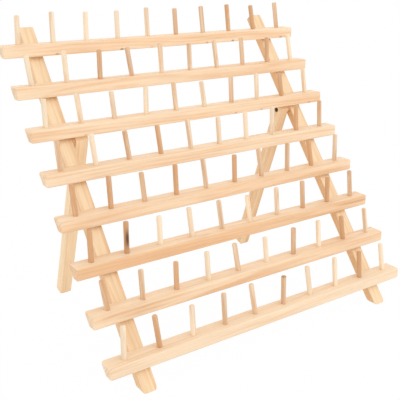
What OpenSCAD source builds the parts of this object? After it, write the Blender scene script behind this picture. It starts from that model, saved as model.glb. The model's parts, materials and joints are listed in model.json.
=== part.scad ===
// Folding wooden thread spool rack: eight level rails of ten pegs, each rail sawn at the
// back to the lean of the two front legs, with two rear legs that swing on screws.
// Millimetres. X runs along the rails, Y runs back, Z is up from the floor.
// Rails and rows are numbered from the top.

/* [Rails] */
// length of every rail
rail_len = 430; // [412:2:480]
// depth of a rail across its top
rail_deep = 21; // [19.5:0.5:24]
// height of a rail
rail_tall = 14; // [13:0.5:16]
// rounding of the long edges
rail_round = 1.6; // [0.6:0.1:2]
// bevel round the sawn ends
rail_bevel = 0.9; // [0.4:0.1:1.6]
// spacing of the rails, measured along the leg
rail_pitch = 53.6; // [49:0.1:58]

/* [Pegs] */
// diameter of a peg
peg_d = 6; // [5:0.1:6.4]
// usual length of a peg above the rail
peg_out = 34.4; // [32:0.2:37]
// how much that length differs from row to row
peg_drive = 1.8; // [0:0.1:2.5]
// how much it differs from peg to peg
peg_odd = 1.4; // [0:0.1:2]
// depth of a peg in the rail
peg_sunk = 8; // [6:0.5:9.5]
// distance of the first and last peg from the ends of a rail
peg_inset = 21.5; // [18:0.5:26]
// backward lean of the pegs, degrees
peg_lean = 8.4; // [5:0.1:12]
// change of that lean from peg to peg, degrees
peg_nod = 1.5; // [0:0.1:2.5]
// sideways lean of hand drilled pegs, degrees
peg_sway = 4.5; // [0:0.1:6]
// rounding of the peg tips
peg_tip = 1.4; // [0.5:0.1:2]
// how much the foot of a peg is turned down all round to enter its hole
peg_neck = 0.2; // [0.16:0.01:0.4]
// height above the rail at which a peg comes to its full thickness
peg_foot = 0.6; // [0.5:0.1:1.5]

/* [Front legs] */
// backward lean of the front legs, degrees from upright
lean = 38.2; // [36:0.1:40]
// width of a front leg
leg_w = 18; // [15:0.5:20]
// thickness of a front leg
leg_t = 11; // [10:0.5:13]
// distance of the middle of each front leg from the ends of the rails
leg_inset = 41.5; // [38:0.5:48]
// length of the leg below its lowest rail
foot_len = 29.7; // [22:0.1:45]
// length of the leg above the underside of its highest rail
leg_over = 40; // [30:0.1:55]
// rounding of the long edges of all legs
leg_round = 1.2; // [0.5:0.1:2]

/* [Rear legs] */
// backward lean of the rear legs, degrees from upright
splay = 19.8; // [17:0.1:22]
// width of a rear leg
rear_w = 16; // [14:0.5:18]
// thickness of a rear leg
rear_t = 13; // [12.5:0.5:14]
// distance along the front leg from the underside of the third rail down to the pivot
pivot_drop = 3; // [2.8:0.1:6]

/* [Fastenings] */
// diameter of the pivot screws
pivot_d = 3.5; // [3:0.1:4]
// length of the pivot screws under the head
pivot_len = 34; // [28:0.5:36]
// diameter of the pivot screw heads
pivot_head_d = 6.2; // [5.5:0.1:8]
// height of the pivot screw heads
pivot_head_h = 1.8; // [1.4:0.1:2.6]
// diameter of the spacers between the front and rear legs
spacer_d = 11; // [9:0.5:12]
// thickness of those spacers
spacer_t = 3.8; // [2:0.1:5]
// diameter of the rail screws
screw_d = 3; // [2.5:0.1:3.5]
// length of the rail screws
screw_len = 18; // [16:0.5:20]
// diameter of the countersunk screw heads
screw_head_d = 5.6; // [5:0.1:6.5]

/* [Fits] */
// gap round the foot of a peg in its hole
peg_fit = 0.05; // [0.02:0.01:0.1]
// gap round a pivot screw in the rear leg and the spacer
pivot_fit = 0.08; // [0.03:0.01:0.1]
// gap round a screw in the hole that holds it
screw_fit = 0.05; // [0.02:0.01:0.1]
// play on each side of a rear leg
side_play = 0.2; // [0.1:0.05:0.4]
// gap left between the slanted head of a rear leg and the rail that stops it
stop_gap = 0.25; // [0.2:0.05:0.5]

/* [Hidden] */
$fn = 48;
rail_count = 8;
peg_count = 10;
pivot_rail = 3;
past = 2;
left = -1;
right = 1;
rail_tone = [0.90, 0.76, 0.56];
leg_tone = [0.88, 0.73, 0.50];
peg_tone = [0.86, 0.68, 0.46];
pivot_tone = [0.30, 0.20, 0.13];
spacer_tone = [0.72, 0.58, 0.40];
screw_tone = [0.72, 0.70, 0.62];
// position along the leg of the underside of rail r
function seat_s(r) = foot_len + (rail_count - r) * rail_pitch;
leg_len = seat_s(1) + leg_over;
leg_x = rail_len / 2 - leg_inset;
// half the reach of a front leg from its toe to the back of its top
y_mid = (leg_len * sin(lean) + leg_t * cos(lean)) / 2;
// side plane position of a point s up the front face of a leg and d behind that face
function leg_y(s, d) = s * sin(lean) + d * cos(lean) - y_mid;
function leg_z(s, d) = s * cos(lean) - d * sin(lean);
// length of leg that a rail lies against, and how far its slanted back runs back on the way up
seat_len = rail_tall / cos(lean);
rail_rake = rail_tall * tan(lean);
// middle of the top of rail r, and its underside
function rail_y(r) = leg_y(seat_s(r), 0) + rail_rake - rail_deep / 2;
function rail_z(r) = leg_z(seat_s(r), 0);
pivot_s = seat_s(pivot_rail) - pivot_drop;
pivot_y = leg_y(pivot_s, leg_t / 2);
pivot_z = leg_z(pivot_s, leg_t / 2);
// height above the pivot of the slanted head, which lies against the back of the rail, at y behind
// the middle of the rear leg
head_slant = lean + splay;
function head_z(y) = (leg_t / 2 - stop_gap + y * cos(head_slant)) / sin(head_slant);
// the front edge of the sawn foot stands on the floor
rear_reach = (pivot_z - rear_t / 2 * sin(splay)) / cos(splay);
rear_x = leg_x - leg_w / 2 - spacer_t - side_play - rear_w / 2;
// distances outward from the inner face of a rear leg to its spacer and to the front leg
spacer_at = rear_w + side_play;
leg_at = spacer_at + spacer_t;
screw_cone = (screw_head_d - screw_d) / 2;
// each peg leans its own way, as hand drilled ones do, and is cut to its own length
function peg_side(r, c) = peg_sway * sin(13 * r + 206 * c + 137 * r * c + 105);
function peg_back(r, c) = peg_lean + peg_nod * sin(97 * r + 161 * c);
function peg_row_out(r) = peg_out + peg_drive * sin(26 * r * r + 106 * r + 55);
function peg_stand(r, c) = peg_row_out(r) + peg_odd * sin(344 * r + 227 * c + 2 * r * c + 28);
peg_pitch = (rail_len - 2 * peg_inset) / (peg_count - 1);
function peg_x(c) = peg_inset - rail_len / 2 + (c - 1) * peg_pitch;

// rectangle with rounded corners
module soft_rect(w, h, r) {
  square([w - 2 * r, h], center = true);
  square([w, h - 2 * r], center = true);
  for (x = [-1, 1], y = [-1, 1])
    translate([x * (w / 2 - r), y * (h / 2 - r)]) circle(r);
}

// rectangle with bevelled corners
module bevel_rect(w, h, b) {
  x = w / 2;
  y = h / 2;
  polygon([
    [b - x, -y], [x - b, -y], [x, b - y], [x, y - b],
    [x - b, y], [b - x, y], [-x, y - b], [-x, b - y]
  ]);
}

// moves to peg c of row r, with Z up the leaning peg from the top of the rail
module at_peg(r, c) {
  translate([peg_x(c), rail_y(r), rail_z(r) + rail_tall])
    rotate([-peg_back(r, c), peg_side(r, c), 0])
      children();
}

// moves to a front leg, with Z up its front face from the floor and Y behind it
module at_leg(side) {
  translate([side * leg_x, -y_mid, 0]) rotate([-lean, 0, 0]) children();
}

// moves to a pivot, with Z running outward from the inner face of the rear leg
module at_pivot(side) {
  translate([side * (rear_x - rear_w / 2), pivot_y, pivot_z])
    rotate([0, 90 * side, 0])
      children();
}

// moves to the back of a leg behind rail r, with Z running forward into the rail
module at_screw(side, r) {
  at_leg(side) translate([0, leg_t, seat_s(r) + seat_len / 2]) rotate([90, 0, 0]) children();
}

// hole for a peg, open above the rail
module peg_hole() {
  translate([0, 0, -peg_sunk])
    cylinder(r = peg_d / 2 - peg_neck + peg_fit, h = peg_sunk + rail_tall);
}

// turned peg with a necked foot and a rounded tip, standing that far above the rail
module peg(stand) {
  radius = peg_d / 2;
  top = peg_sunk + stand;
  translate([0, 0, -peg_sunk]) rotate_extrude() {
    square([radius - peg_neck, peg_sunk + peg_foot + past]);
    translate([0, peg_sunk + peg_foot]) square([radius, stand - peg_foot - peg_tip]);
    square([radius - peg_tip, top]);
    translate([radius - peg_tip, top - peg_tip]) circle(peg_tip);
  }
}

// half outline of a countersunk screw, turned about the Y axis
module screw_outline() {
  radius = screw_d / 2;
  tip = 2 * screw_d;
  polygon([
    [0, 0], [screw_head_d / 2, 0], [radius, screw_cone], [radius, screw_len - tip],
    [radius / 4, screw_len], [0, screw_len]
  ]);
}

// hole that a countersunk screw goes into, open past the back of the leg
module screw_hole() {
  radius = screw_d / 2 + screw_fit;
  head = screw_head_d / 2 + screw_fit;
  rotate_extrude() polygon([
    [0, -past], [head, -past], [head, 0], [radius, screw_cone],
    [radius, screw_len + screw_fit], [0, screw_len + screw_fit]
  ]);
}

// screw with its cross recess
module rail_screw() {
  slot = screw_head_d / 6;
  difference() {
    rotate_extrude() screw_outline();
    translate([-screw_head_d / 3, -slot / 2, -past]) cube([screw_head_d * 2 / 3, slot, past + 1]);
    translate([-slot / 2, -screw_head_d / 3, -past]) cube([slot, screw_head_d * 2 / 3, past + 1]);
  }
}

// square batten with rounded long edges and bevelled ends
module batten() {
  intersection() {
    rotate([90, 0, 90])
      linear_extrude(rail_len, center = true)
        soft_rect(rail_deep, rail_tall, rail_round);
    linear_extrude(rail_tall + past, center = true)
      bevel_rect(rail_len, rail_deep, rail_bevel);
    rotate([90, 0, 0])
      linear_extrude(rail_deep + past, center = true)
        bevel_rect(rail_len, rail_tall, rail_bevel);
  }
}

// all that lies in front of the legs beside rail r
module leg_front(r) {
  translate([0, -y_mid, 0])
    rotate([-lean, 0, 0])
      translate([-rail_len, -2 * rail_deep, seat_s(r) - 2 * rail_deep])
        cube([2 * rail_len, 2 * rail_deep, 4 * rail_deep]);
}

// level rail with its back sawn to lie flat on the legs, peg holes and screw holes
module rail(r) {
  color(rail_tone) difference() {
    intersection() {
      translate([0, rail_y(r), rail_z(r) + rail_tall / 2]) batten();
      leg_front(r);
    }
    for (c = [1 : peg_count]) at_peg(r, c) peg_hole();
    for (side = [left, right]) at_screw(side, r) screw_hole();
  }
}

// the ten pegs of one rail
module peg_row(r) {
  color(peg_tone) for (c = [1 : peg_count]) at_peg(r, c) peg(peg_stand(r, c));
}

// plain leaning leg with a level foot
module front_leg(side) {
  toe = leg_t * tan(lean);
  color(leg_tone) difference() {
    at_leg(side)
      translate([0, leg_t / 2, -toe])
        linear_extrude(leg_len + toe)
          soft_rect(leg_w, leg_t, leg_round);
    translate([side * leg_x - leg_w, -y_mid - leg_w, -2 * leg_t])
      cube([2 * leg_w, 3 * leg_w, 2 * leg_t]);
    for (r = [1 : rail_count]) at_screw(side, r) screw_hole();
    at_pivot(side)
      translate([0, 0, leg_at - past])
        cylinder(r = pivot_d / 2 + screw_fit, h = pivot_len + screw_fit - side_play - leg_at + past);
  }
}

// prop leg: square sawn foot, and a head sawn to the lean of the front legs so that it
// comes flat against the back of the third rail
module rear_leg(side) {
  color(leg_tone) translate([side * rear_x, pivot_y, pivot_z]) rotate([splay, 0, 0]) difference() {
    intersection() {
      translate([0, 0, -rear_reach])
        linear_extrude(rear_reach + rear_t)
          soft_rect(rear_w, rear_t, leg_round);
      rotate([90, 0, 90]) linear_extrude(rear_w + past, center = true) polygon([
        [-rear_t, -rear_reach], [rear_t, -rear_reach], [rear_t, head_z(rear_t)], [-rear_t, head_z(-rear_t)]
      ]);
    }
    rotate([0, 90, 0])
      cylinder(r = pivot_d / 2 + pivot_fit, h = rear_w + 2 * past, center = true);
  }
}

// countersunk screws that hold the rails from behind one leg
module rail_screws(side) {
  color(screw_tone) for (r = [1 : rail_count]) at_screw(side, r) rail_screw();
}

// domed screw with a slot, driven outward through the rear leg into the front leg
module pivot_screw(side) {
  radius = pivot_d / 2;
  inside = pivot_head_h / 4;
  dome = pivot_head_d * 0.65;
  slot = pivot_head_d / 6;
  color(pivot_tone) at_pivot(side) translate([0, 0, -side_play]) difference() {
    union() {
      rotate_extrude() polygon([
        [0, -inside], [radius, -inside], [radius, pivot_len - 2 * pivot_d],
        [radius / 4, pivot_len], [0, pivot_len]
      ]);
      intersection() {
        translate([0, 0, -pivot_head_h]) cylinder(d = pivot_head_d, h = pivot_head_h);
        translate([0, 0, dome - pivot_head_h]) sphere(dome);
      }
    }
    translate([-slot / 2, -pivot_head_d, -pivot_head_h - past])
      cube([slot, 2 * pivot_head_d, past + pivot_head_h / 2]);
  }
}

// wooden ring that keeps the rear leg off the front leg
module spacer(side) {
  color(spacer_tone) at_pivot(side) translate([0, 0, spacer_at]) difference() {
    cylinder(d = spacer_d, h = spacer_t);
    translate([0, 0, -past]) cylinder(r = pivot_d / 2 + pivot_fit, h = spacer_t + 2 * past);
  }
}

front_leg(left);  // left_front_leg
front_leg(right);  // right_front_leg
rear_leg(left);  // left_rear_leg
rear_leg(right);  // right_rear_leg
rail(1);  // rail_1
rail(2);  // rail_2
rail(3);  // rail_3
rail(4);  // rail_4
rail(5);  // rail_5
rail(6);  // rail_6
rail(7);  // rail_7
rail(8);  // rail_8
peg_row(1);  // row_1_pegs
peg_row(2);  // row_2_pegs
peg_row(3);  // row_3_pegs
peg_row(4);  // row_4_pegs
peg_row(5);  // row_5_pegs
peg_row(6);  // row_6_pegs
peg_row(7);  // row_7_pegs
peg_row(8);  // row_8_pegs
rail_screws(left);  // left_rail_screws
rail_screws(right);  // right_rail_screws
pivot_screw(left);  // left_pivot_screw
pivot_screw(right);  // right_pivot_screw
spacer(left);  // left_spacer
spacer(right);  // right_spacer
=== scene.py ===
"""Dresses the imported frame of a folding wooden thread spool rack.

Every piece is modelled in metres where its node stands, so the frame's motion carries it.
Rails and rows of pegs are numbered from the top, and the pegs of a row from the left.
"""
import json
import math

import bmesh
import bpy
from bpy.props import FloatProperty, FloatVectorProperty, PointerProperty
from mathutils import Matrix, Vector, noise


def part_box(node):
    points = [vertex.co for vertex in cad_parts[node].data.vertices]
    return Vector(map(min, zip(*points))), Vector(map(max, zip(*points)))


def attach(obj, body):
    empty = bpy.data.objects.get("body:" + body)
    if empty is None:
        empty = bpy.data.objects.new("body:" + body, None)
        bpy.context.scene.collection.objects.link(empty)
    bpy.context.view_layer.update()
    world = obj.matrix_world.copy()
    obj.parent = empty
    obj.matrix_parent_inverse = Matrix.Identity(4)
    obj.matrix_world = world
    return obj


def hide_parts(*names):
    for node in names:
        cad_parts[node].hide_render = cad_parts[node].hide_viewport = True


bl_info = {
    "name": "Thread spool rack",
    "version": (1, 0, 0),
    "blender": (4, 5, 0),
    "location": "View3D > Sidebar > Spool rack",
    "description": "Models the wooden thread spool rack round its packed frame",
    "category": "Object",
}

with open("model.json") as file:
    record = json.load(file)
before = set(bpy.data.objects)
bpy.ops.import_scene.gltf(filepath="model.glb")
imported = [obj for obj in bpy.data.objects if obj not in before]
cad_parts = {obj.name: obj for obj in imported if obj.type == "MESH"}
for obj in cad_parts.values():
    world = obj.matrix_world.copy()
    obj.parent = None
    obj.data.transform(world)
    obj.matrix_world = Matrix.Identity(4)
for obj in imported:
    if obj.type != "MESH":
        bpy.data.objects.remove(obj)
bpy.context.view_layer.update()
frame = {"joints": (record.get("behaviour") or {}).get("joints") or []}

RAILS = 8
PEGS = 10
SIDES = {"left": -1, "right": 1}
FRONT = "front_frame"
TO_MM = 1000.0
QUARTER_TURN = math.pi / 2
FULL_TURN = 2 * math.pi

# Metres: points that count as one, least run of a long edge and of an edge across a leg, and
# how far a cutter reaches past a face
TINY = 1e-6
LONG_RUN = 0.1
CROSS_RUN = 0.005
PAST = 0.002
# Least share of an edge's length that runs along an axis
STRAIGHT = 0.999
# Sides of a turned peg, bore, rail screw and disc
PEG_STEPS = 20
BORE_STEPS = 24
SCREW_STEPS = 20
DISC_STEPS = 32
# Width of a screw's slot and length of a cross's arm, as shares of the head
SLOT_SHARE = 1 / 6
ARM_SHARE = 1 / 3

# Angles past which an edge is shaded sharp, and past which a rail's edge is rounded
SHADE_SHARP = math.radians(32)
ROUND_SHARP = 0.6
# Millimetres within which a vertex counts as lying on an end, a worn foot or a rail's top
END_SKIN = 0.05
FOOT_SKIN = 0.3
TOP_SKIN = 0.4

# Strength of the dark drill mark under a peg, by row and column
DRILL_MARKS = {
    (1, 2): 0.35, (1, 4): 0.6, (1, 5): 0.2, (1, 7): 0.4, (1, 8): 0.6, (1, 10): 0.4,
    (3, 2): 0.2, (3, 7): 0.35, (3, 8): 0.3, (3, 10): 0.3,
}
# Strength of a streak, by row, place along the rail in metres and share of its height
RESIN_STREAKS = {
    (6, 0.191, 0.58): 0.55, (6, 0.120, 0.30): 0.25,
    (7, -0.175, 0.80): 0.35, (7, -0.160, 0.42): 0.40,
}
# Reach of a mark and of a streak in millimetres: into the wood, up its face, along the grain
DRILL_REACH = (2.6, 2.0, 3.2)
RESIN_REACH = (3.0, 1.8, 44.0)
# Height of the drill marks above a rail's lower edge, in metres
DRILL_LIFT = 0.0015

# Where each leg lay in its log in millimetres, and how its grain runs out sideways
LEG_LOGS = {
    "left_front_leg": ((18.0, 38.0, 700.0), (0.014, -0.01)),
    "right_front_leg": ((-30.0, 30.0, 1700.0), (-0.012, 0.012)),
    "left_rear_leg": ((34.0, -26.0, 2600.0), (0.010, 0.016)),
    "right_rear_leg": ((24.0, 36.0, 3900.0), (-0.014, 0.010)),
}
# Noises of the wood: stretch per millimetre, with Z along the grain, detail and roughness
DRIFT = ((0.045, 0.045, 0.0045), 2.0, 0.5)
BANDS = ((0.10, 0.10, 0.0055), 3.0, 0.55)
FLECKS = ((0.36, 0.36, 0.016), 3.0, 0.6)
FIBRES = ((1.6, 1.6, 0.035), 3.0, 0.6)
PORES = ((3.2, 3.2, 0.16), 2.0, 0.5)
# Noises of the metals: stretch per metre, detail and roughness
BLOTCHES = ((900.0, 900.0, 900.0), 3.0, 0.6)
DARK_BRUSH = ((1500.0, 300.0, 300.0), 2.0, 0.5)
ZINC_BRUSH = ((2500.0, 2500.0, 400.0), 2.0, 0.5)
# How far growth rings stray with the drift, and how far the painted shade under a rail reaches down
# a leg, in millimetres
RING_STRAY = 14.0
PAINTED_SHADE_REACH = 9.0
WHITE = (1.0, 1.0, 1.0)


# Where things stand in the frame
def rail_box(row):
    """Lowest and highest corner of a rail."""
    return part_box(f"rail_{row}")


def lean_angle():
    """Backward lean of the front legs, from the line of the rails."""
    step = rail_box(1)[0] - rail_box(RAILS)[0]
    return math.atan2(step.y, step.z)


def turn(axis, angle):
    """Rotation about a main axis."""
    return Matrix.Rotation(angle, 4, axis)


def leg_frame(side):
    """Front leg's own axes: Z up its front face from the floor, Y behind that face."""
    low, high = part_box(f"{side}_front_leg")
    toe = Vector(((low.x + high.x) / 2, low.y, 0.0))
    return Matrix.Translation(toe) @ turn("X", -lean_angle())


def seat_along(row, up):
    """How far up the front of a leg a given share of a rail's height lies."""
    low, high = rail_box(row)
    return (low.z + up * (high.z - low.z)) / math.cos(lean_angle())


def hinge_point(side):
    """Middle of a rear leg's hinge."""
    for joint in frame["joints"]:
        if joint["child"] == f"{side}_rear_leg":
            return Vector(joint["pos_m"])
    raise RuntimeError(f"no hinge for the {side} rear leg")


def pivot_frame(side):
    """Pivot screw's own axes: Z runs outward from the inner face of the rear leg."""
    low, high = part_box(f"{side}_rear_leg")
    inner = high.x if side == "left" else low.x
    point = hinge_point(side)
    outward_turn = turn("Y", QUARTER_TURN * SIDES[side])
    return Matrix.Translation((inner, point.y, point.z)) @ outward_turn


def outward(side, node):
    """How far outward a node starts from the inner face of its rear leg."""
    inner = pivot_frame(side).translation.x
    return min(abs(corner.x - inner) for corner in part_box(node))


def screw_frame(side, row, leg_thick):
    """Rail screw's own axes: Z runs forward from the back of the leg into the rail."""
    back = Matrix.Translation((0.0, leg_thick, seat_along(row, 0.5)))
    return leg_frame(side) @ back @ turn("X", QUARTER_TURN)


def peg_x(s, row, column):
    """Where a peg stands along its rail."""
    low, high = rail_box(row)
    pitch = (high.x - low.x - 2 * s.peg_inset) / (PEGS - 1)
    return low.x + s.peg_inset + (column - 1) * pitch


def wave(degrees):
    """Sine of an angle in degrees."""
    return math.sin(math.radians(degrees))


# Sizes and colours that a user may change
def maker(prop, **fixed):
    """A function that makes one kind of property from a name, a description and a default."""

    def make(name, text, default):
        return prop(name=name, description=text, default=default, **fixed)

    return make


size = maker(FloatProperty, unit="LENGTH", precision=5)
tilt = maker(FloatProperty, subtype="ANGLE", min=-QUARTER_TURN, max=QUARTER_TURN)
share = maker(FloatProperty, subtype="FACTOR", min=0, max=1)
colour = maker(FloatVectorProperty, subtype="COLOR", min=0, max=1)
place = maker(FloatVectorProperty, subtype="TRANSLATION", unit="LENGTH", precision=5)
angles = maker(FloatVectorProperty, subtype="EULER")
focal = maker(FloatProperty, unit="CAMERA", min=1)
power = maker(FloatProperty, subtype="POWER", min=0)
number = maker(FloatProperty, min=0)


class RackSizes(bpy.types.PropertyGroup):
    """Sizes of the modelled pieces."""

    rail_deep: size("Rail depth", "Depth of a rail across its top", 0.021)
    rail_round: size("Rail edge", "Rounding of the long front edges of a rail", 0.0020)
    rail_back: size("Rail back edge", "Rounding of the long back edges of a rail", 0.0009)
    rail_end: size("Rail end", "Usual rounding of the sanded ends of a rail", 0.0020)
    rail_wear: size("Rail wear", "How far planing and handling bring a rail's faces in", 0.00018)
    peg_d: size("Peg thickness", "Diameter of a peg", 0.006)
    peg_out: size("Peg stand", "Usual length of a peg above its rail", 0.0344)
    peg_drive: size("Peg row change", "Change of a peg's stand from row to row", 0.0018)
    peg_odd: size("Peg change", "Change of a peg's stand from peg to peg", 0.0014)
    peg_sunk: size("Peg depth", "Depth of a peg in its rail", 0.008)
    peg_inset: size("Peg inset", "First and last peg from the ends of a rail", 0.0215)
    peg_lead: size("Peg lead", "Chamfer at the bottom of a peg", 0.0005)
    peg_tip: size("Peg tip", "Rounding of a peg's tip", 0.0014)
    peg_neck: size("Peg neck", "How much a peg's foot is turned down all round", 0.0002)
    peg_foot: size("Peg foot", "Height above the rail where a peg is full thickness", 0.0006)
    peg_fit: size("Peg fit", "Gap round a peg's foot in its hole", 0.00005)
    peg_lean: tilt("Peg lean", "Backward lean of the pegs", math.radians(8.4))
    peg_nod: tilt("Peg nod", "Change of the pegs' lean from peg to peg", math.radians(1.5))
    peg_sway: tilt("Peg sway", "Sideways lean of the hand drilled pegs", math.radians(4.5))
    leg_thick: size("Front leg thickness", "Thickness of a front leg", 0.011)
    leg_round: size("Leg edge", "Rounding of the long edges of the legs", 0.0012)
    leg_end: size("Leg end", "Rounding of the sawn ends of the legs", 0.0022)
    leg_foot: size("Leg foot", "Rounding of the worn feet of the front legs", 0.0042)
    rear_thick: size("Rear leg thickness", "Thickness of a rear leg", 0.013)
    rear_splay: tilt("Rear leg lean", "Backward lean of the rear legs", math.radians(19.8))
    stop_gap: size("Stop gap", "Gap between a rear leg's head and the rail that stops it", 0.00025)
    side_play: size("Side play", "Gap on each side of a rear leg", 0.0002)
    spacer_edge: size("Spacer edge", "Chamfer round a spacer", 0.0004)
    pivot_d: size("Pivot screw", "Diameter of a pivot screw", 0.0035)
    pivot_length: size("Pivot screw length", "Length of a pivot screw under its head", 0.034)
    pivot_plain: size("Pivot screw shank", "Length of a pivot screw without thread", 0.021)
    pivot_head_d: size("Pivot screw head", "Diameter of a pivot screw's head", 0.0062)
    pivot_head_h: size("Pivot screw head height", "Height of a pivot screw's head", 0.0018)
    pivot_fit: size("Pivot fit", "Gap round a pivot screw in the rear leg", 0.00008)
    screw_d: size("Screw", "Diameter of a rail screw", 0.003)
    screw_length: size("Screw length", "Length of a rail screw", 0.018)
    screw_head_d: size("Screw head", "Diameter of a countersunk head", 0.0056)
    screw_neck: size("Screw neck", "Length of a rail screw between its head and its thread", 0.002)
    screw_sunk: size("Screw depth", "Depth of a rail screw's head below the leg's back", 0.00005)
    screw_rim: size("Screw rim", "Depth of the rim of a countersunk head", 0.0002)
    screw_fit: size("Screw fit", "Gap round a screw in its hole", 0.00005)
    head_edge: size("Head edge", "Chamfer round the screw heads", 0.0001)
    thread_pitch: size("Thread pitch", "Spacing of the turns of a thread", 0.0012)
    thread_core: share("Thread core", "Core of a thread as a share of its diameter", 0.72)


class RackColours(bpy.types.PropertyGroup):
    """Colours of the woods and metals."""

    rail_pale: colour("Rail pale", "Early wood of the rails", (0.94, 0.725, 0.505))
    rail_deep: colour("Rail deep", "Warm bands of the rails", (0.86, 0.53, 0.29))
    leg_pale: colour("Leg pale", "Early wood of the legs", (0.94, 0.715, 0.46))
    leg_deep: colour("Leg deep", "Warm bands of the legs", (0.82, 0.51, 0.26))
    peg_pale: colour("Peg pale", "Palest pegs", (0.93, 0.76, 0.56))
    peg_deep: colour("Peg deep", "Reddest pegs", (0.66, 0.36, 0.175))
    late: colour("Late wood", "Thin dark lines of the growth rings", (0.60, 0.34, 0.16))
    knot: colour("Knot", "Knots, bruises and drill marks", (0.13, 0.045, 0.016))
    dark_steel: colour("Dark steel", "Browned pivot screws", (0.11, 0.05, 0.022))
    bare_steel: colour("Bare steel", "Steel where the browning has worn", (0.30, 0.24, 0.19))
    zinc: colour("Zinc", "Yellow zinc of the rail screws", (0.62, 0.50, 0.27))
    floor: colour("Floor", "Pale floor under the rack", (0.92, 0.92, 0.92))


class RackStage(bpy.types.PropertyGroup):
    """Camera and light."""

    eye: place("Camera place", "Where the camera stands", (-0.475472, -0.672885, 0.423301))
    aim: angles(
        "Camera turn", "Camera's rotation", (math.radians(70.8269), 0.0, math.radians(-34.3978))
    )
    lens: focal("Lens", "Focal length in millimetres", 61.897)
    sky: number("Room light", "Strength of the light from all round", 1.0)
    key: power("Key light", "Power of the large soft light", 1.5)
    fill: power("Fill light", "Power of the softer light from the right", 3.0)
    key_place: place("Key light place", "Where the large soft light hangs", (-0.55, -1.25, 1.15))
    fill_place: place("Fill light place", "Where the softer light hangs", (1.1, -1.1, 1.0))
    lamp_aim: place("Light aim", "Where both lights point", (0.0, 0.0, 0.18))
    key_across: size("Key light size", "Side of the large soft light", 1.1)
    fill_across: size("Fill light size", "Side of the softer light", 1.0)
    white: share("White ground", "How much of the floor's own white the camera sees", 0.98)


# Node trees written as expressions
class Wire:
    """One socket of a material's node tree, whose arithmetic adds Math nodes."""

    def __init__(self, tree, socket=None):
        self.tree = tree
        self.socket = socket

    def node(self, kind, settings=None, inputs=None, output=0):
        """Adds a node with its settings, sets or links its inputs and returns one output."""
        made = self.tree.nodes.new(kind)
        for key, value in (settings or {}).items():
            setattr(made, key, value)
        for key, value in (inputs or {}).items():
            if isinstance(value, Wire):
                self.tree.links.new(value.socket, made.inputs[key])
            elif made.inputs[key].type == "RGBA":
                made.inputs[key].default_value = (*value, 1.0)
            else:
                made.inputs[key].default_value = value
        return None if output is None else Wire(self.tree, made.outputs[output])

    def beside(self, output):
        """Another output of the same node."""
        return Wire(self.tree, self.socket.node.outputs[output])

    def maths(self, operation, first, second):
        """A Math node on two values."""
        return self.node("ShaderNodeMath", {"operation": operation}, {0: first, 1: second})

    def __add__(self, other):
        return self.maths("ADD", self, other)

    def __radd__(self, other):
        return self.maths("ADD", other, self)

    def __sub__(self, other):
        return self.maths("SUBTRACT", self, other)

    def __rsub__(self, other):
        return self.maths("SUBTRACT", other, self)

    def __mul__(self, other):
        return self.maths("MULTIPLY", self, other)

    def __rmul__(self, other):
        return self.maths("MULTIPLY", other, self)

    def __truediv__(self, other):
        return self.maths("DIVIDE", self, other)

    def __rtruediv__(self, other):
        return self.maths("DIVIDE", other, self)

    def vector(self, operation, other):
        """A Vector Math node on this vector and another."""
        return self.node("ShaderNodeVectorMath", {"operation": operation}, {0: self, 1: other})

    def length(self):
        """Length of a vector."""
        return self.node("ShaderNodeVectorMath", {"operation": "LENGTH"}, {0: self}, "Value")

    def fraction(self):
        """What a value has over its last whole number."""
        return self.node("ShaderNodeMath", {"operation": "FRACT"}, {0: self})


def new_material(name):
    """An empty node material and a wire to start its tree from."""
    material = bpy.data.materials.new(name)
    material.use_nodes = True
    material.node_tree.nodes.clear()
    return material, Wire(material.node_tree)


def close_material(wire, shader):
    """Joins the last shader to the material's output."""
    wire.node("ShaderNodeOutputMaterial", None, {"Surface": shader}, output=None)


def surface(start, body, rough, metallic, relief, strength, depth):
    """Ends a material with one shader over a fine relief."""
    bump = start.node(
        "ShaderNodeBump", None, {"Strength": strength, "Distance": depth, "Height": relief}
    )
    shader = start.node(
        "ShaderNodeBsdfPrincipled", None,
        {"Base Color": body, "Roughness": rough, "Metallic": metallic, "Normal": bump},
    )
    close_material(start, shader)


def fade(value, start, stop):
    """Soft step from nought at start to one at stop."""
    return value.node(
        "ShaderNodeMapRange", {"interpolation_type": "SMOOTHSTEP"},
        {"Value": value, "From Min": start, "From Max": stop},
    )


def streaks(point, stretch, detail, rough):
    """Noise on coordinates that are stretched by three factors."""
    return point.node(
        "ShaderNodeTexNoise", {"noise_dimensions": "3D"},
        {"Vector": point.vector("MULTIPLY", stretch), "Scale": 1.0, "Detail": detail,
         "Roughness": rough},
    )


def blend(factor, first, second):
    """Mixes two colours."""
    return factor.node(
        "ShaderNodeMix", {"data_type": "RGBA", "clamp_factor": True},
        {0: factor, 6: first, 7: second}, output=2,
    )


def shade(amount, tint):
    """A colour multiplied by a value."""
    return amount.node(
        "ShaderNodeVectorMath", {"operation": "SCALE"}, {0: tint, "Scale": amount}
    )


def spots(total, grain, ragged, places):
    """Adds soft spots with ragged edges to a value.

    Each spot is a place in the grain, its reach three ways and its strength.
    """
    for middle, reach_mm, strength in places:
        far = grain.vector("SUBTRACT", middle).vector("DIVIDE", reach_mm).length()
        total = total + strength * (1.0 - fade(far + (ragged - 0.5) * 0.8, 0.45, 1.0))
    return total


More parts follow.
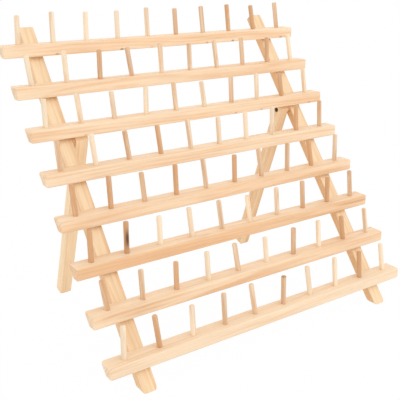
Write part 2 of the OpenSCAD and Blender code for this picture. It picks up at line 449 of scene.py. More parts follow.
def wood(name, pale, deep, ring_gap, ring_strength, marks=(), resin=(), seats=None):
    """Planed wood whose grain follows the piece's own grain attribute.

    The attribute holds millimetres with Z along the grain, measured from the heart of the log.
    The tone attribute holds lightness, warmth, end grain and, as alpha, knots.
    Dark marks and warm streaks of resin are spots in the grain.
    With seats, painted shade darkens the wood just under each rail, where the rail shades it: seats
    are the lowest rail's height and their spacing.
    """
    c = bpy.context.scene.rack_colours
    material, start = new_material(name)
    grain = start.node("ShaderNodeAttribute", {"attribute_name": "grain"}, output="Vector")
    tone = start.node("ShaderNodeAttribute", {"attribute_name": "tone"}, output="Vector")
    knots = tone.beside("Alpha")
    light = start.node("ShaderNodeSeparateXYZ", None, {"Vector": tone})
    warmth, end = light.beside("Y"), light.beside("Z")

    drift = streaks(grain, *DRIFT)
    bands = streaks(grain, *BANDS)
    flecks = streaks(grain, *FLECKS)
    fibres = streaks(grain, *FIBRES)
    pits = fade(streaks(grain, *PORES), 0.62, 0.78)
    from_heart = grain.vector("MULTIPLY", (1.0, 1.0, 0.0)).length()
    ring = ((from_heart + drift * RING_STRAY) / ring_gap).fraction()
    line = fade(ring, 0.30, 0.90) * (1.0 - fade(ring, 0.90, 1.0))
    late_share = line * ring_strength * fade(bands, 0.30, 0.62) * (0.5 + warmth + 0.4 * end)

    warm = fade(bands + warmth - 0.5 + line * 0.08, 0.32, 0.82)
    body = blend(warm, pale, deep)
    body = blend(spots(late_share, grain, flecks, resin), body, c.late)
    body = blend(end * (0.05 + 0.16 * line), body, c.late)
    fine = 0.82 + 0.09 * fibres + 0.27 * flecks - 0.07 * pits
    # Painted shade: the front of a leg is darkened just below each rail, fading over a few
    # millimetres
    if seats:
        lowest, spacing = seats
        seat = start.node("ShaderNodeAttribute", {"attribute_name": "seat"}, output="Vector")
        height = start.node("ShaderNodeSeparateXYZ", None, {"Vector": seat})
        below = ((lowest - height) / spacing).fraction() * spacing
        painted_shade = height.beside("Y") * (1.0 - fade(below, 0.0, PAINTED_SHADE_REACH))
        light = light * (1.0 - 0.26 * painted_shade)
    body = shade(light * fine, body)
    dark = fade(knots + (fibres - 0.5) * 0.35, 0.25, 0.85)
    body = blend(spots(dark, grain, flecks, marks), body, c.knot)

    rough = 0.40 + 0.14 * fibres + 0.05 * line
    relief = fibres * 0.7 + line * 0.2 - pits * 0.5
    surface(start, body, rough, 0.0, relief, strength=0.22, depth=0.0002)
    return material


def metal(name, tint, wear_from, base_rough, brush):
    """Plated or browned steel, worn to another metal where the noise is high."""
    material, start = new_material(name)
    point = start.node("ShaderNodeTexCoord", output="Object")
    lines = streaks(point, *brush)
    wear = fade(streaks(point, *BLOTCHES), wear_from, wear_from + 0.16)
    body = blend(wear, tint, bpy.context.scene.rack_colours.bare_steel)
    body = shade(0.82 + 0.36 * lines, body)
    rough = base_rough + 0.18 * lines - 0.10 * wear
    surface(start, body, rough, 0.85, lines, strength=0.15, depth=0.00005)
    return material


def rail_log(row):
    """Where a rail lay in its log, and how its grain runs out sideways."""
    swing = math.radians(40 + 67 * row)
    from_heart, apart = 46, 900
    heart = (from_heart * math.cos(swing), from_heart * math.sin(swing), apart * row)
    return heart, (0.012 * wave(80 * row), 0.02 * wave(130 * row + 20))


def in_grain(at, heart, drift):
    """Place in the log of a point on a plank, in millimetres."""
    return at + Vector((drift[0] * at.z, drift[1] * at.z, 0.0)) + Vector(heart)


def on_front(row, x, lift):
    """Place in the log of a point on the front of a rail, at a height above its lower edge."""
    low, high = rail_box(row)
    at = Vector(((low.y - high.y) / 2, (low.z - high.z) / 2 + lift, x)) * TO_MM
    return in_grain(at, *rail_log(row))


def drill_marks():
    """Dark marks low on the front of some rails, under their pegs."""
    s = bpy.context.scene.rack_sizes
    return [
        (on_front(row, peg_x(s, row, column), DRILL_LIFT), DRILL_REACH, strength)
        for (row, column), strength in DRILL_MARKS.items()
    ]


def resin_streaks():
    """Warm streaks along the front of some rails."""
    marks = []
    for (row, x, up), strength in RESIN_STREAKS.items():
        low, high = rail_box(row)
        marks.append((on_front(row, x, up * (high.z - low.z)), RESIN_REACH, strength))
    return marks


def rail_seats():
    """Height up a front leg of the lowest rail, and the spacing of the rails, in millimetres."""
    lowest = seat_along(RAILS, 0.0)
    return lowest * TO_MM, (seat_along(1, 0.0) - lowest) / (RAILS - 1) * TO_MM


def finishes():
    """The rack's materials by name, made once."""
    named = {m.name: m for m in bpy.data.materials if m.name.startswith("rack ")}
    if named:
        return named
    c = bpy.context.scene.rack_colours
    made = (
        wood("rack rail wood", c.rail_pale, c.rail_deep, ring_gap=3.4, ring_strength=0.13,
             marks=drill_marks(), resin=resin_streaks()),
        wood("rack leg wood", c.leg_pale, c.leg_deep, ring_gap=3.4, ring_strength=0.15,
             seats=rail_seats()),
        wood("rack peg wood", c.peg_pale, c.peg_deep, ring_gap=1.3, ring_strength=0.22),
        wood("rack spacer wood", c.leg_deep, c.peg_deep, ring_gap=1.1, ring_strength=0.45),
        metal("rack dark steel", c.dark_steel, wear_from=0.60, base_rough=0.42, brush=DARK_BRUSH),
        metal("rack zinc screw", c.zinc, wear_from=0.66, base_rough=0.30, brush=ZINC_BRUSH),
    )
    return {m.name: m for m in made}


# Mesh building
def wood_mesh():
    """A new bmesh with the layers that the wood finishes read."""
    bm = bmesh.new()
    bm.verts.layers.float_vector.new("grain")
    bm.verts.layers.float_color.new("tone")
    return bm


def paint(bm, verts, to_plank, heart, drift, tone):
    """Writes each vertex's place in its plank, in millimetres with the grain along Z, and its tone.

    heart is the plank's place in the log, and drift is how its grain runs out sideways.
    """
    grain = bm.verts.layers.float_vector["grain"]
    tones = bm.verts.layers.float_color["tone"]
    for v in verts:
        at = (to_plank @ v.co) * TO_MM
        v[grain] = in_grain(at, heart, drift)
        v[tones] = tone(at)


def repaint(piece, to_plank, log, tone, seat=None):
    """Paints a piece that is already cut, and writes its vertices' seats if it has any."""
    bm = bmesh.new()
    bm.from_mesh(piece.data)
    paint(bm, bm.verts, to_plank, *log, tone)
    if seat:
        seats = bm.verts.layers.float_vector.new("seat")
        for v in bm.verts:
            v[seats] = seat((to_plank @ v.co) * TO_MM)
    bm.to_mesh(piece.data)
    bm.free()


def block(bm, low, high):
    """A plain block between two corners, to be shaped further."""
    made = bmesh.ops.create_cube(bm, size=1.0)
    bmesh.ops.scale(bm, vec=Vector(high) - Vector(low), verts=made["verts"])
    bmesh.ops.translate(bm, vec=(Vector(low) + Vector(high)) / 2, verts=made["verts"])


def saw(bm, point, away):
    """Saws everything off beyond a plane and closes the cut."""
    made = bmesh.ops.bisect_plane(
        bm, geom=bm.verts[:] + bm.edges[:] + bm.faces[:], plane_co=point, plane_no=away,
        clear_outer=True, dist=TINY,
    )
    rim = [e for e in made["geom_cut"] if isinstance(e, bmesh.types.BMEdge)]
    bmesh.ops.edgeloop_fill(bm, edges=rim)
    bmesh.ops.recalc_face_normals(bm, faces=bm.faces)


def soften(bm, edges, width, segments, clamp=True):
    """Rounds edges, held back where roundings would meet unless clamp is off."""
    bmesh.ops.bevel(
        bm, geom=edges, offset=width, offset_type="OFFSET", affect="EDGES", segments=segments,
        profile=0.5, material=-1, clamp_overlap=clamp,
    )


def along(bm, axis, least):
    """Edges that run along an axis and are at least so long."""
    found = []
    for edge in bm.edges:
        run = edge.verts[1].co - edge.verts[0].co
        if abs(run[axis]) >= least and abs(run[axis]) > STRAIGHT * run.length:
            found.append(edge)
    return found


def broad_rims(bm, least):
    """Edges round the faces whose normals lie so far along Y."""
    return [e for e in bm.edges if any(abs(f.normal.y) > least for f in e.link_faces)]


def face_outward(bm, verts):
    """Turns the faces round some vertices outward."""
    bmesh.ops.recalc_face_normals(bm, faces=list({f for v in verts for f in v.link_faces}))


def turned(bm, outline, steps):
    """Spins an outline of (radius, height) points into a closed solid and returns its vertices."""
    known = set(bm.verts)
    line = [bm.verts.new((radius, 0.0, height)) for radius, height in outline]
    edges = [bm.edges.new(pair) for pair in zip(line, line[1:])]
    bmesh.ops.spin(
        bm, geom=line + edges, cent=(0, 0, 0), axis=(0, 0, 1), angle=FULL_TURN, steps=steps,
        use_merge=True,
    )
    made = [v for v in bm.verts if v not in known]
    bmesh.ops.remove_doubles(bm, verts=made, dist=TINY)
    made = [v for v in bm.verts if v not in known]
    face_outward(bm, made)
    return made


def rounded(radius, top, corner, steps):
    """Outline points of a rounded rim, from the wall up to the flat of the top."""
    points = []
    for i in range(steps + 1):
        angle = i / steps * QUARTER_TURN
        points.append((
            radius - corner + corner * math.cos(angle), top - corner + corner * math.sin(angle)
        ))
    return points


def to_object(name, bm):
    """A linked object that holds a finished bmesh."""
    mesh = bpy.data.meshes.new(name)
    bm.to_mesh(mesh)
    bm.free()
    made = bpy.data.objects.new(name, mesh)
    bpy.context.scene.collection.objects.link(made)
    return made


def volume(mesh):
    """Volume of a closed mesh, below nought where it is inside out."""
    bm = bmesh.new()
    bm.from_mesh(mesh)
    found = bm.calc_volume(signed=True)
    bm.free()
    return found


def cut(piece, cutter):
    """Takes a cutter's bmesh out of a piece for good, and tests what is left."""
    tool = to_object("cutter", cutter)
    modifier = piece.modifiers.new("cut", "BOOLEAN")
    modifier.operation = "DIFFERENCE"
    modifier.solver = "EXACT"
    modifier.object = tool
    result = bpy.data.meshes.new_from_object(
        piece.evaluated_get(bpy.context.evaluated_depsgraph_get())
    )
    piece.modifiers.clear()
    if not 0 < volume(result) < volume(piece.data):
        raise RuntimeError(f"{piece.name}: the cut went wrong")
    spare = [piece.data, tool.data]
    piece.data = result
    bpy.data.objects.remove(tool)
    for mesh in spare:
        bpy.data.meshes.remove(mesh)


def dress(piece, finish, body, node):
    """Gives a piece its material and smooth shading, and ties it to the frame."""
    mesh = piece.data
    mesh.materials.clear()
    mesh.materials.append(finishes()[finish])
    mesh.shade_smooth()
    mesh.set_sharp_from_angle(angle=SHADE_SHARP)
    normals = piece.modifiers.new("flat faces", "WEIGHTED_NORMAL")
    normals.keep_sharp = True
    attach(piece, body)
    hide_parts(node)


def round_bore(bm, radius, start, stop, at):
    """A cutter for a round hole between two places on an axis."""
    verts = turned(bm, [(0.0, start), (radius, start), (radius, stop), (0.0, stop)], BORE_STEPS)
    bmesh.ops.transform(bm, matrix=at, verts=verts)


def screw_bore(bm, s, at):
    """A cutter for one countersunk screw hole, open at the back of the leg."""
    head = s.screw_head_d / 2 + s.screw_fit
    shank = s.screw_d / 2 + s.screw_fit
    stop = s.screw_length + s.screw_fit
    mouth = [(0.0, -PAST), (head + PAST, -PAST), (shank, head - shank)]
    verts = turned(bm, mouth + [(shank, stop), (0.0, stop)], SCREW_STEPS)
    bmesh.ops.transform(bm, matrix=at, verts=verts)


def peg_frame(s, row, column):
    """A peg's own axes: Z up the leaning peg from the top of its rail."""
    low, high = rail_box(row)
    base = Vector((peg_x(s, row, column), low.y + s.rail_deep / 2, high.z))
    side = s.peg_sway * wave(13 * row + 206 * column + 137 * row * column + 105)
    back = s.peg_lean + s.peg_nod * wave(97 * row + 161 * column)
    return Matrix.Translation(base) @ turn("Y", side) @ turn("X", -back)


def peg_stand(s, row, column):
    """How far a peg stands out of its rail."""
    usual = s.peg_out + s.peg_drive * wave(26 * row * row + 106 * row + 55)
    return usual + s.peg_odd * wave(344 * row + 227 * column + 2 * row * column + 28)


def threaded(s, shank, start, length):
    """Outline points of a screw's thread, which tapers to a point over two diameters."""
    taper = 4 * shank
    points = []
    height = start
    while height < length - s.thread_pitch:
        left = 1 - max(0.0, (height - length + taper) / taper)
        points.append((shank * s.thread_core * left, height))
        points.append((shank * left, height + s.thread_pitch / 2))
        height += s.thread_pitch
    return points + [(0.0, length)]


# The pieces
class RACK_OT_rails(bpy.types.Operator):
    """Model the eight rails with their peg holes and screw holes"""

    bl_idname = "rack.rails"
    bl_label = "Rails"

    # Cuts along a rail, cuts across a rounded end as shares of the rounding, and its change
    CUTS = 72
    END_CUTS = (0.08, 0.22, 0.42, 0.68, 1.0)
    END_CHANGE = 0.4
    # Noise of the wear per metre, and its step from rail to rail
    WEAR_SCALE = (22, 60, 60)
    WEAR_STEP = 7.3
    # Warmth and lightness of the rails from the top down
    WARMTH = (0.46, 0.46, 0.48, 0.40, 0.56, 0.70, 0.52, 0.34)
    # Painted light: the top of a rail is painted less warm, and so paler, for the light it catches
    # from above
    LIT_TOP_WARMTH = 0.42
    LIGHT = (1.015, 1.0, 1.005, 1.0, 0.995, 0.98, 0.99, 0.98)

    def sand_end(self, bm, end, inward, radius):
        """Rounds one end of a rail all round."""
        for cut_share in self.END_CUTS:
            bmesh.ops.bisect_plane(
                bm, geom=bm.verts[:] + bm.edges[:] + bm.faces[:], dist=TINY,
                plane_co=(end + inward * radius * cut_share, 0.0, 0.0), plane_no=(1.0, 0.0, 0.0),
            )
        rim = [v for v in bm.verts if abs(v.co.x - end) < TINY]
        middle, half = [0.0] * 3, [1.0] * 3
        for axis in (1, 2):
            least, most = min(v.co[axis] for v in rim), max(v.co[axis] for v in rim)
            middle[axis], half[axis] = (least + most) / 2, (most - least) / 2
        for v in bm.verts:
            short = radius - (v.co.x - end) * inward
            if short > 0:
                inset = radius - math.sqrt(max(radius * radius - short * short, 0.0))
                for axis in (1, 2):
                    v.co[axis] -= (v.co[axis] - middle[axis]) * inset / half[axis]

    def blank(self, s, row):
        """A planed strip with a slanted back, soft edges and a little wear."""
        low, high = rail_box(row)
        lean = lean_angle()
        bm = wood_mesh()
        block(bm, low, (high.x, low.y + s.rail_deep, high.z))
        saw(bm, (0.0, low.y + s.rail_deep, high.z), (0.0, math.cos(lean), -math.sin(lean)))
        front = [e for e in along(bm, 0, LONG_RUN) if e.verts[0].co.y < low.y + TINY]
        soften(bm, front, s.rail_round, segments=5)
        back = [e for e in along(bm, 0, LONG_RUN) if e.calc_face_angle(0.0) > ROUND_SHARP]
        soften(bm, back, s.rail_back, segments=3)
        left_end = s.rail_end * (1 + self.END_CHANGE * wave(90 * (row - 3)))
        right_end = s.rail_end * (1 + self.END_CHANGE * wave(45 * (row - 6)))
        self.sand_end(bm, low.x, 1, left_end)
        self.sand_end(bm, high.x, -1, right_end)
        bmesh.ops.subdivide_edges(
            bm, edges=along(bm, 0, LONG_RUN), cuts=self.CUTS, use_grid_fill=True
        )
        middle = (low + high) / 2
        elsewhere = Vector((0.0, row * self.WEAR_STEP, 0.0))
        for v in bm.verts:
            inward = Vector((0.0, middle.y - v.co.y, middle.z - v.co.z)).normalized()
            wear = noise.noise(v.co * Vector(self.WEAR_SCALE) + elsewhere)
            v.co += inward * s.rail_wear * (0.5 + 0.5 * wear)
        return bm

    def holes(self, s, row):
        """Cutters for the peg holes and the two screw holes."""
        bm = bmesh.new()
        radius = s.peg_d / 2 - s.peg_neck + s.peg_fit
        for column in range(1, PEGS + 1):
            round_bore(bm, radius, -s.peg_sunk, s.peg_d, peg_frame(s, row, column))
        for side in SIDES:
            screw_bore(bm, s, screw_frame(side, row, s.leg_thick))
        return bm

    def colour(self, piece, row):
        """Lays each rail somewhere else in its log, with its top painted paler for the light that
        falls on it.
        """
        low, high = rail_box(row)
        middle = (low + high) / 2
        half = (high.x - low.x) / 2 * TO_MM
        to_plank = Matrix(((0, 1, 0, -middle.y), (0, 0, 1, -middle.z), (1, 0, 0, 0), (0, 0, 0, 1)))
        top = (high.z - low.z) / 2 * TO_MM

        def tone(at):
            end = 1.0 if abs(at.z) > half - END_SKIN else 0.0
            warmth = self.WARMTH[row - 1]
            # Painted light: the top is paler where it catches the light from above
            if at.y > top - TOP_SKIN:
                warmth = min(warmth, self.LIT_TOP_WARMTH)
            return (self.LIGHT[row - 1], warmth, end, 0.0)

        repaint(piece, to_plank, rail_log(row), tone)

    def execute(self, context):
        s = context.scene.rack_sizes
        for row in range(1, RAILS + 1):
            piece = to_object(f"rail_{row}_planed", self.blank(s, row))
            cut(piece, self.holes(s, row))
            self.colour(piece, row)
            dress(piece, "rack rail wood", FRONT, f"rail_{row}")
        return {"FINISHED"}


class RACK_OT_pegs(bpy.types.Operator):
    """Model the pegs of every row, each turned, necked and leaning its own way"""

    bl_idname = "rack.pegs"
    bl_label = "Pegs"

    RINGS = 9
    # Two odd pegs by row and column: turn of the brown one's front in degrees, and in millimetres
    # the height and reach of its streak and the reach of the other's dark tip
    BROWN_PEG = (6, 2)
    BROWN_TURN = 98
    BROWN_HEIGHT, BROWN_REACH = 16, 10
    DARK_TIP_PEG = (8, 6)
    DARK_TIP_REACH = 3

    def outline(self, s, stand):
        """Half outline of a peg from the bottom of its hole to its tip."""
        bottom = -s.peg_sunk
        radius = s.peg_d / 2
        neck = radius - s.peg_neck
        points = [(0.0, bottom), (neck - s.peg_lead, bottom), (neck, bottom + s.peg_lead)]
        points.append((neck, s.peg_foot))
        wall = stand - s.peg_tip
        for i in range(self.RINGS):
            height = s.peg_foot + (wall - s.peg_foot) * i / self.RINGS
            points.append((radius, height))
        return points + rounded(radius, stand, s.peg_tip, steps=4) + [(0.0, stand)]

    def log(self, row, column):
        """Where a peg lay in its log, and how its grain runs out sideways."""
        spin = wave(71 * row + 47 * column) * 3
        heart = (6 + 5 * math.cos(spin), 6 + 5 * math.sin(spin), 97 * row + 61 * column)
        return heart, (0.06 * wave(29 * column + row), 0.05 * wave(53 * column + 7 * row))

    def tone(self, row, column, stand):
        """A function for the lightness, warmth, end grain and knots at a place on one peg."""
        mood = 0.55 * wave(30 * row + 53 * column + 277 * row * column + 335)
        mood += 0.49 * wave(210 * row + 84 * column + 98 * row * column + 321)
        warmth = 0.51 + 0.32 * mood
        light = 1.0 + 0.04 * wave(57 * row + 139 * column)
        tip = stand * TO_MM

        def plain(point):
            return (light, warmth, 1.0 if point.z > tip - END_SKIN else 0.0, 0.0)

        def brown(point):
            front = math.atan2(point.y, point.x) + math.radians(self.BROWN_TURN)
            face = (0.5 + 0.5 * math.cos(front)) ** 5
            streak = math.exp(-((point.z - self.BROWN_HEIGHT) / self.BROWN_REACH) ** 2)
            return (light, 1.0, plain(point)[2], 0.26 + 0.58 * face * streak)

        def dark_tip(point):
            fading = math.exp(-((point.z - tip) / self.DARK_TIP_REACH) ** 2)
            return (*plain(point)[:3], 0.55 * fading)

        return {self.BROWN_PEG: brown, self.DARK_TIP_PEG: dark_tip}.get((row, column), plain)

    def execute(self, context):
        s = context.scene.rack_sizes
        for row in range(1, RAILS + 1):
            bm = wood_mesh()
            for column in range(1, PEGS + 1):
                stand = peg_stand(s, row, column)
                verts = turned(bm, self.outline(s, stand), PEG_STEPS)
                tone = self.tone(row, column, stand)
                paint(bm, verts, Matrix(), *self.log(row, column), tone)
                bmesh.ops.transform(bm, matrix=peg_frame(s, row, column), verts=verts)
            piece = to_object(f"row_{row}_pegs_turned", bm)
            dress(piece, "rack peg wood", FRONT, f"row_{row}_pegs")
        return {"FINISHED"}


class RACK_OT_front_legs(bpy.types.Operator):
    """Model the plain leaning front legs"""

    bl_idname = "rack.front_legs"
    bl_label = "Front legs"

    # Least share along Y of the normals of faces with soft rims
    BROAD = 0.5
    # Warmth of the front of each leg, and of its sides, which are painted warmer and darker as
    # painted shade
    FACE_WARMTH = {"left": 0.43, "right": 0.49}
    SHADED_SIDE_WARMTH = {"left": 0.66, "right": 0.82}
    SIDE_SKIN = 0.1

    def blank(self, s, side):
        """A leaning batten with a rounded top, a rounded level foot and soft edges."""
        low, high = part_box(f"{side}_front_leg")
        lean = lean_angle()
        half = (high.x - low.x) / 2
        length = high.z / math.cos(lean)
        toe = s.leg_thick * math.tan(lean)
        bm = wood_mesh()
        block(bm, (-half, 0.0, -toe - PAST), (half, s.leg_thick, length))
        top = [e for e in along(bm, 1, CROSS_RUN) if e.verts[0].co.z > 0]
        soften(bm, top, s.leg_end, segments=4)
        bmesh.ops.transform(bm, matrix=leg_frame(side), verts=bm.verts)
        saw(bm, (0, 0, 0), (0, 0, -1))
        foot = [e for e in along(bm, 1, CROSS_RUN) if e.verts[0].co.z < TINY]
        soften(bm, foot, s.leg_foot, segments=6)
        soften(bm, broad_rims(bm, self.BROAD), s.leg_round, segments=4, clamp=False)
        return bm

    def bores(self, s, side):
        """Cutters for the screw holes and the pivot hole."""
        bm = bmesh.new()
        for row in range(1, RAILS + 1):
            screw_bore(bm, s, screw_frame(side, row, s.leg_thick))
        radius = s.pivot_d / 2 + s.screw_fit
        start = outward(side, f"{side}_front_leg") - PAST
        stop = s.pivot_length - s.side_play + s.screw_fit
        round_bore(bm, radius, start, stop, pivot_frame(side))
        return bm

    def colour(self, side, piece):
        """Runs the grain up the leg, paints shade on its sides as a warmer colour, and writes where
        its front lies under the rails for the shade painted there.
        """
        to_plank = leg_frame(side).inverted()
        low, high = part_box(f"{side}_front_leg")
        length = high.z / math.cos(lean_angle()) * TO_MM
        rise = math.tan(lean_angle())
        half = (high.x - low.x) / 2 * TO_MM

        def tone(at):
            foot = at.z < at.y * rise + FOOT_SKIN
            end = 1.0 if foot or at.z > length - END_SKIN else 0.0
            # Painted shade: the sides of the leg get a warmer, darker colour than its front
            outer = abs(at.x) > half - self.SIDE_SKIN
            warmth = self.SHADED_SIDE_WARMTH[side] if outer else self.FACE_WARMTH[side]
            return (1.0, warmth, end, 0.0)

        # Height up the leg and whether the point lies on the front face, for the shade painted
        # under each rail
        def seat(at):
            return (at.z, 1.0 if at.y < END_SKIN else 0.0, 0.0)

        repaint(piece, to_plank, LEG_LOGS[f"{side}_front_leg"], tone, seat)

    def execute(self, context):
        s = context.scene.rack_sizes
        for side in SIDES:
            blank, bores = self.blank(s, side), self.bores(s, side)
            # The exact cut can turn a leg inside out unless it lies a quarter turn round
            for bm in (blank, bores):
                bmesh.ops.transform(bm, matrix=turn("Z", QUARTER_TURN), verts=bm.verts)
            piece = to_object(f"{side}_front_leg_planed", blank)
            cut(piece, bores)
            piece.data.transform(turn("Z", -QUARTER_TURN))
            self.colour(side, piece)
            dress(piece, "rack leg wood", FRONT, f"{side}_front_leg")
        return {"FINISHED"}


class RACK_OT_rear_legs(bpy.types.Operator):
    """Model the rear legs that swing on the pivot screws"""

    bl_idname = "rack.rear_legs"
    bl_label = "Rear legs"

    # Least share along Y of the normals of faces with soft rims
    BROAD = 0.9
    LIGHT = {"left": 1.02, "right": 0.98}
    WARMTH = {"left": 0.30, "right": 0.52}

    def leg_axes(self, s, side):
        """Z up the rear leg from its hinge."""
        return Matrix.Translation(hinge_point(side)) @ turn("X", s.rear_splay)

    def reach(self, s, side):
        """How far down from its hinge a rear leg goes."""
        level = hinge_point(side).z - s.rear_thick / 2 * math.sin(s.rear_splay)
        return level / math.cos(s.rear_splay)

    def blank(self, s, side):
        """A batten whose head is sawn to lie flat against the back of the third rail."""
        low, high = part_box(f"{side}_rear_leg")
        half_w = (high.x - low.x) / 2
        half_t = s.rear_thick / 2
        slant = lean_angle() + s.rear_splay
        reach = self.reach(s, side)
        bm = wood_mesh()
        block(bm, (-half_w, -half_t, -reach), (half_w, half_t, s.rear_thick))
        level = (s.leg_thick / 2 - s.stop_gap) / math.sin(slant)
        saw(bm, (0.0, 0.0, level), (0.0, -math.cos(slant), math.sin(slant)))
        foot = [e for e in along(bm, 1, CROSS_RUN) if e.verts[0].co.z < 0]
        soften(bm, foot, s.leg_end, segments=4)
        soften(bm, broad_rims(bm, self.BROAD), s.leg_round, segments=4, clamp=False)
        bmesh.ops.transform(bm, matrix=self.leg_axes(s, side), verts=bm.verts)
        return bm

    def bore(self, s, side):
        """A cutter for the pivot hole, right through the leg."""
        low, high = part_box(f"{side}_rear_leg")
        bm = bmesh.new()
        radius = s.pivot_d / 2 + s.pivot_fit
        round_bore(bm, radius, -PAST, high.x - low.x + PAST, pivot_frame(side))
        return bm

    def colour(self, s, side, piece):
        """Runs the grain up the leg."""
        bottom = -self.reach(s, side) * TO_MM

        def tone(at):
            end = 1.0 if at.z < bottom + FOOT_SKIN else 0.0
            return (self.LIGHT[side], self.WARMTH[side], end, 0.0)

        repaint(piece, self.leg_axes(s, side).inverted(), LEG_LOGS[f"{side}_rear_leg"], tone)

    def execute(self, context):
        s = context.scene.rack_sizes
        for side in SIDES:
            leg = f"{side}_rear_leg"
            piece = to_object(f"{leg}_planed", self.blank(s, side))
            cut(piece, self.bore(s, side))
            self.colour(s, side, piece)
            dress(piece, "rack leg wood", leg, leg)
        return {"FINISHED"}


class RACK_OT_spacers(bpy.types.Operator):
    """Model the turned wooden spacers between the front and rear legs"""

    bl_idname = "rack.spacers"
    bl_label = "Spacers"

    HEART = (9.0, 4.0, 40.0)
    TONE = (1.0, 0.5, 0.0, 0.0)

    def execute(self, context):
        s = context.scene.rack_sizes
        for side in SIDES:
            low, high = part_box(f"{side}_spacer")
            radius = (high.z - low.z) / 2
            thick = high.x - low.x
            bore = s.pivot_d / 2 + s.pivot_fit
            edge = s.spacer_edge
            bm = wood_mesh()
            ring = [(bore, 0.0), (radius - edge, 0.0), (radius, edge), (radius, thick - edge),
                    (radius - edge, thick), (bore, thick), (bore, 0.0)]
            verts = turned(bm, ring, DISC_STEPS)
            paint(bm, verts, Matrix(), self.HEART, (0.0, 0.0), lambda at: self.TONE)
            lift = Matrix.Translation((0.0, 0.0, outward(side, f"{side}_spacer")))
            bmesh.ops.transform(bm, matrix=pivot_frame(side) @ lift, verts=verts)
            piece = to_object(f"{side}_spacer_turned", bm)
            dress(piece, "rack spacer wood", FRONT, f"{side}_spacer")
        return {"FINISHED"}


class RACK_OT_pivots(bpy.types.Operator):
    """Model the domed pivot screws, driven outward through the rear legs"""

    bl_idname = "rack.pivots"
    bl_label = "Pivot screws"

    RINGS = 8
    # Radius of the dome as a share of the head's diameter, and metres from shank to thread
    DOME = 0.65
    RUN_IN = 0.001

    def screw(self, s):
        """A domed screw, plain where the rear leg turns on it and threaded beyond."""
        head = s.pivot_head_d / 2
        radius = s.pivot_d / 2
        edge = s.head_edge
        dome = s.pivot_head_d * self.DOME
        outline = [(0.0, -s.pivot_head_h)]
        for i in range(1, self.RINGS + 1):
            out = head * i / self.RINGS
            outline.append((out, dome - s.pivot_head_h - math.sqrt(dome * dome - out * out)))
        outline += [(head, -edge), (head - edge, 0.0), (radius, 0.0), (radius, s.pivot_plain)]
        bm = bmesh.new()
        thread = threaded(s, radius, s.pivot_plain + self.RUN_IN, s.pivot_length)
        turned(bm, outline + thread, DISC_STEPS)
        return bm

    def slot(self, s):
        """A cutter for the slot across half the depth of the head."""
        half = s.pivot_head_d * SLOT_SHARE / 2
        top = -s.pivot_head_h
        bm = bmesh.new()
        block(bm, (-half, -s.pivot_head_d, top - PAST), (half, s.pivot_head_d, top / 2))
        return bm

    def execute(self, context):
        s = context.scene.rack_sizes
        for side in SIDES:
            at = pivot_frame(side) @ Matrix.Translation((0.0, 0.0, -s.side_play))
            screw, slot = self.screw(s), self.slot(s)
            for bm in (screw, slot):
                bmesh.ops.transform(bm, matrix=at, verts=bm.verts)
            piece = to_object(f"{side}_pivot_screw_steel", screw)
            cut(piece, slot)
            dress(piece, "rack dark steel", FRONT, f"{side}_pivot_screw")
        return {"FINISHED"}


class RACK_OT_rail_screws(bpy.types.Operator):
    """Model the countersunk screws that hold the rails from behind"""

    bl_idname = "rack.rail_screws"
    bl_label = "Rail screws"

    # Neck as a share of the shank, depth of a cross in metres and turns of the crosses in degrees
    NECK = 0.8
    CROSS_DEPTH = 0.001
    FIRST_TWIST = {"left": 23, "right": 65}
    TWIST = 36

    def screw(self, bm, s, at):
        """A countersunk screw with a turned thread and a point."""
        head = s.screw_head_d / 2
        shank = s.screw_d / 2
        cone = head - shank
        top = s.screw_sunk
        outline = [(0.0, top), (head - s.head_edge, top), (head, s.screw_rim)]
        outline.append((shank * self.NECK, cone))
        outline += threaded(s, shank, cone + s.screw_neck, s.screw_length)
        verts = turned(bm, outline, SCREW_STEPS)
        bmesh.ops.transform(bm, matrix=at, verts=verts)

    def recess(self, bm, s, at):
        """A cutter for the cross in a screw head."""
        long, wide = s.screw_head_d * ARM_SHARE, s.screw_head_d * SLOT_SHARE / 2
        known = set(bm.verts)
        corners = []
        for arm in range(4):
            for x, y in ((long, -wide), (long, wide), (wide, wide)):
                corner = turn("Z", QUARTER_TURN * arm) @ Vector((x, y, -self.CROSS_DEPTH))
                corners.append(bm.verts.new(corner))
        face = bm.faces.new(corners)
        made = bmesh.ops.extrude_face_region(bm, geom=[face])
        lifted = [v for v in made["geom"] if isinstance(v, bmesh.types.BMVert)]
        bmesh.ops.translate(bm, vec=(0, 0, 2 * self.CROSS_DEPTH), verts=lifted)
        verts = [v for v in bm.verts if v not in known]
        face_outward(bm, verts)
        bmesh.ops.transform(bm, matrix=at, verts=verts)

    def execute(self, context):
        s = context.scene.rack_sizes
        for side in SIDES:
            screws, crosses = bmesh.new(), bmesh.new()
            for row in range(1, RAILS + 1):
                at = screw_frame(side, row, s.leg_thick)
                twist = turn("Z", math.radians(self.TWIST * row + self.FIRST_TWIST[side]))
                self.screw(screws, s, at)
                self.recess(crosses, s, at @ twist)
            piece = to_object(f"{side}_rail_screws_steel", screws)
            cut(piece, crosses)
            dress(piece, "rack zinc screw", FRONT, f"{side}_rail_screws")
        return {"FINISHED"}


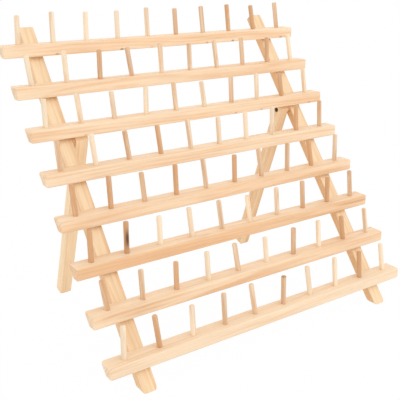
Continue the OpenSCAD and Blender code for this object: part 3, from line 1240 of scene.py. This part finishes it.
class RACK_OT_stage(bpy.types.Operator):
    """Set the pale floor, the soft lights and the camera"""

    bl_idname = "rack.stage"
    bl_label = "Stage"

    FLOOR_HALF = 6.0
    SENSOR_MM = 36.0
    NEAR, FAR = 0.01, 50.0

    def seen(self, start):
        """One for what the camera sees, straight or through gloss or glass."""
        path = start.node("ShaderNodeLightPath", output="Is Camera Ray")
        both = path.beside("Is Glossy Ray") + path.beside("Is Transmission Ray")
        return start.node("ShaderNodeMath", {"operation": "MAXIMUM"}, {0: path, 1: both})

    def floor(self, g, c):
        """A wide pale floor that keeps a faint shadow."""
        bm = bmesh.new()
        bmesh.ops.create_grid(bm, x_segments=8, y_segments=8, size=self.FLOOR_HALF)
        floor = to_object("floor", bm)
        material, start = new_material("pale floor")
        matt = start.node("ShaderNodeBsdfDiffuse", None, {"Color": c.floor})
        glow = start.node("ShaderNodeEmission", None, {"Color": WHITE, "Strength": 1.0})
        shader = start.node(
            "ShaderNodeMixShader", None, {0: self.seen(start) * g.white, 1: matt, 2: glow}
        )
        close_material(start, shader)
        floor.data.materials.append(material)

    def lamp(self, name, at, aim, across, watts):
        """A large soft square lamp turned to a point."""
        data = bpy.data.lights.new(name, "AREA")
        data.shape = "SQUARE"
        data.size = across
        data.energy = watts
        lamp = bpy.data.objects.new(name, data)
        lamp.location = at
        lamp.rotation_euler = (Vector(aim) - Vector(at)).to_track_quat("-Z", "Y").to_euler()
        bpy.context.scene.collection.objects.link(lamp)

    def room(self, scene, g):
        """Even light from all round, seen as white."""
        world = bpy.data.worlds.new("white room")
        world.use_nodes = True
        world.node_tree.nodes.clear()
        start = Wire(world.node_tree)
        dim = start.node("ShaderNodeBackground", None, {"Color": WHITE, "Strength": g.sky})
        white = start.node("ShaderNodeBackground", None, {"Color": WHITE, "Strength": 1.0})
        mixed = start.node("ShaderNodeMixShader", None, {0: self.seen(start), 1: dim, 2: white})
        start.node("ShaderNodeOutputWorld", None, {"Surface": mixed}, output=None)
        scene.world = world

    def execute(self, context):
        scene = context.scene
        g, c = scene.rack_stage, scene.rack_colours
        self.floor(g, c)
        self.room(scene, g)
        self.lamp("key", g.key_place, g.lamp_aim, g.key_across, g.key)
        self.lamp("fill", g.fill_place, g.lamp_aim, g.fill_across, g.fill)
        scene.view_settings.view_transform = "Standard"
        data = bpy.data.cameras.new("camera")
        data.sensor_width = self.SENSOR_MM
        data.lens = g.lens
        data.clip_start, data.clip_end = self.NEAR, self.FAR
        camera = bpy.data.objects.new("camera", data)
        camera.location = g.eye
        camera.rotation_euler = g.aim
        scene.collection.objects.link(camera)
        scene.camera = camera
        return {"FINISHED"}


class RACK_PT_panel(bpy.types.Panel):
    """Steps of the rack in the sidebar"""

    bl_idname = "RACK_PT_panel"
    bl_label = "Spool rack"
    bl_space_type = "VIEW_3D"
    bl_region_type = "UI"
    bl_category = "Spool rack"

    def draw(self, context):
        layout = self.layout
        for step in STEPS:
            layout.operator(step.bl_idname)
        for name in GROUPS:
            group = getattr(context.scene, name)
            box = layout.box()
            for key in group.bl_rna.properties.keys():
                if key not in ("rna_type", "name"):
                    box.prop(group, key)


STEPS = (
    RACK_OT_rails, RACK_OT_pegs, RACK_OT_front_legs, RACK_OT_rear_legs, RACK_OT_spacers,
    RACK_OT_pivots, RACK_OT_rail_screws, RACK_OT_stage,
)
GROUPS = {"rack_sizes": RackSizes, "rack_colours": RackColours, "rack_stage": RackStage}


def register():
    """Registers the groups, the steps and the panel."""
    for name, group in GROUPS.items():
        bpy.utils.register_class(group)
        setattr(bpy.types.Scene, name, PointerProperty(type=group))
    for step in STEPS:
        bpy.utils.register_class(step)
    bpy.utils.register_class(RACK_PT_panel)


def unregister():
    """Takes them all out again."""
    bpy.utils.unregister_class(RACK_PT_panel)
    for step in reversed(STEPS):
        bpy.utils.unregister_class(step)
    for name, group in GROUPS.items():
        delattr(bpy.types.Scene, name)
        bpy.utils.unregister_class(group)


def main():
    """Builds the rack."""
    register()
    bpy.ops.rack.rails()
    bpy.ops.rack.pegs()
    bpy.ops.rack.front_legs()
    bpy.ops.rack.rear_legs()
    bpy.ops.rack.spacers()
    bpy.ops.rack.pivots()
    bpy.ops.rack.rail_screws()
    bpy.ops.rack.stage()
    bpy.context.view_layer.update()


if __name__ == "__main__":
    main()
